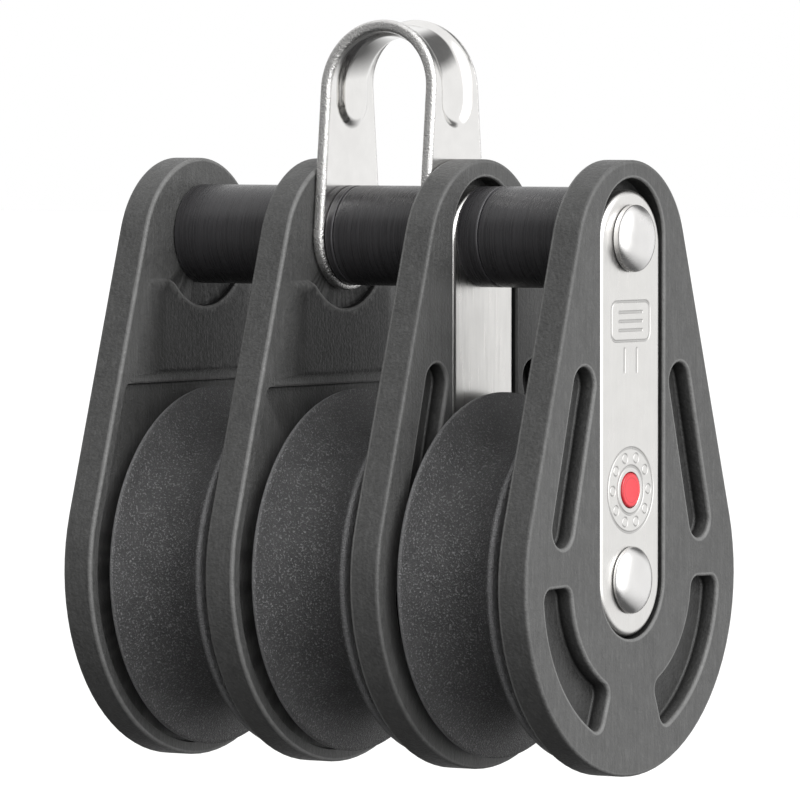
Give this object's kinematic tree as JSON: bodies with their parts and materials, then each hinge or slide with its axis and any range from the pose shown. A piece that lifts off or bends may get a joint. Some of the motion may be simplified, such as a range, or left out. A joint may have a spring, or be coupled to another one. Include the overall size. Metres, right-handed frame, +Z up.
{
  "type": "rope block",
  "caption": "Rope block with grooved ball-bearing sheaves side by side between teardrop cheeks, hung from a bent stainless strap bow that swings on the head pin.",
  "frame": {"origin": "the point under the bow's crown where a shackle bears", "axes": "+X along the head pin and the axle, +Z up through the bow, +Y the way the ropes run through"},
  "size_m": [0.0714, 0.0478, 0.0921],
  "materials": {
    "polished_stainless": "polished stainless steel, bright cut edges",
    "rivet_stainless": "polished domed stainless rivet heads",
    "strap_stainless": "satin stainless steel plate",
    "race_stainless": "ground stainless tube",
    "cheek_moulding": "black fibre-filled moulding, fine grain, trimmed edge",
    "sheave_moulding": "black acetal, fine speckle",
    "sleeve_plastic": "black turned acetal, satin with fine tool lines",
    "washer_plastic": "black acetal",
    "ball_plastic": "white acetal balls and cage",
    "red_inlay": "red moulded inlay"
  },
  "bodies": {
    "bow": {"bow": "polished_stainless"},
    "frame": {"cheek_left_inner": "cheek_moulding", "cheek_left_outer": "cheek_moulding", "cheek_right_inner": "cheek_moulding", "cheek_right_outer": "cheek_moulding", "strap_left_inner": "strap_stainless", "strap_left_outer": "strap_stainless", "strap_right_inner": "strap_stainless", "strap_right_outer": "strap_stainless", "inlay_left": "red_inlay", "inlay_right": "red_inlay", "head_pin": "rivet_stainless", "axle_pin": "rivet_stainless", "head_collar_right": "sleeve_plastic", "head_collar_middle_right": "sleeve_plastic", "head_collar_middle_left": "sleeve_plastic", "head_collar_left": "sleeve_plastic", "head_sleeve_right": "sleeve_plastic", "head_sleeve_middle": "sleeve_plastic", "head_sleeve_left": "sleeve_plastic", "inner_race_left": "race_stainless", "inner_race_middle": "race_stainless", "inner_race_right": "race_stainless", "thrust_washer_left_a": "washer_plastic", "thrust_washer_left_b": "washer_plastic", "thrust_washer_middle_a": "washer_plastic", "thrust_washer_middle_b": "washer_plastic", "thrust_washer_right_a": "washer_plastic", "thrust_washer_right_b": "washer_plastic"},
    "sheave_left": {"sheave_left": "sheave_moulding"},
    "sheave_middle": {"sheave_middle": "sheave_moulding"},
    "sheave_right": {"sheave_right": "sheave_moulding"},
    "ball_set_left": {"ball_set_left": "ball_plastic"},
    "ball_set_middle": {"ball_set_middle": "ball_plastic"},
    "ball_set_right": {"ball_set_right": "ball_plastic"}
  },
  "joints": [
    {"name": "bow_swing", "type": "hinge", "parent": "bow", "child": "frame", "pos_m": [0, 0, -0.0246], "axis": [1, 0, 0], "range_deg": [-80, 80]},
    {"name": "sheave_spin_left", "type": "hinge", "parent": "frame", "child": "sheave_left", "pos_m": [-0.0213, 0, -0.06615], "axis": [1, 0, 0], "continuous": true},
    {"name": "ball_set_spin_left", "type": "hinge", "parent": "frame", "child": "ball_set_left", "pos_m": [-0.0213, 0, -0.06615], "axis": [1, 0, 0], "continuous": true},
    {"name": "sheave_spin_middle", "type": "hinge", "parent": "frame", "child": "sheave_middle", "pos_m": [0, 0, -0.06615], "axis": [1, 0, 0], "continuous": true},
    {"name": "ball_set_spin_middle", "type": "hinge", "parent": "frame", "child": "ball_set_middle", "pos_m": [0, 0, -0.06615], "axis": [1, 0, 0], "continuous": true},
    {"name": "sheave_spin_right", "type": "hinge", "parent": "frame", "child": "sheave_right", "pos_m": [0.0213, 0, -0.06615], "axis": [1, 0, 0], "continuous": true},
    {"name": "ball_set_spin_right", "type": "hinge", "parent": "frame", "child": "ball_set_right", "pos_m": [0.0213, 0, -0.06615], "axis": [1, 0, 0], "continuous": true}
  ],
  "couplings": [
    {"joint": "ball_set_spin_left", "follows": "sheave_spin_left", "ratio": 0.6256},
    {"joint": "ball_set_spin_middle", "follows": "sheave_spin_middle", "ratio": 0.6256},
    {"joint": "ball_set_spin_right", "follows": "sheave_spin_right", "ratio": 0.6256}
  ]
}
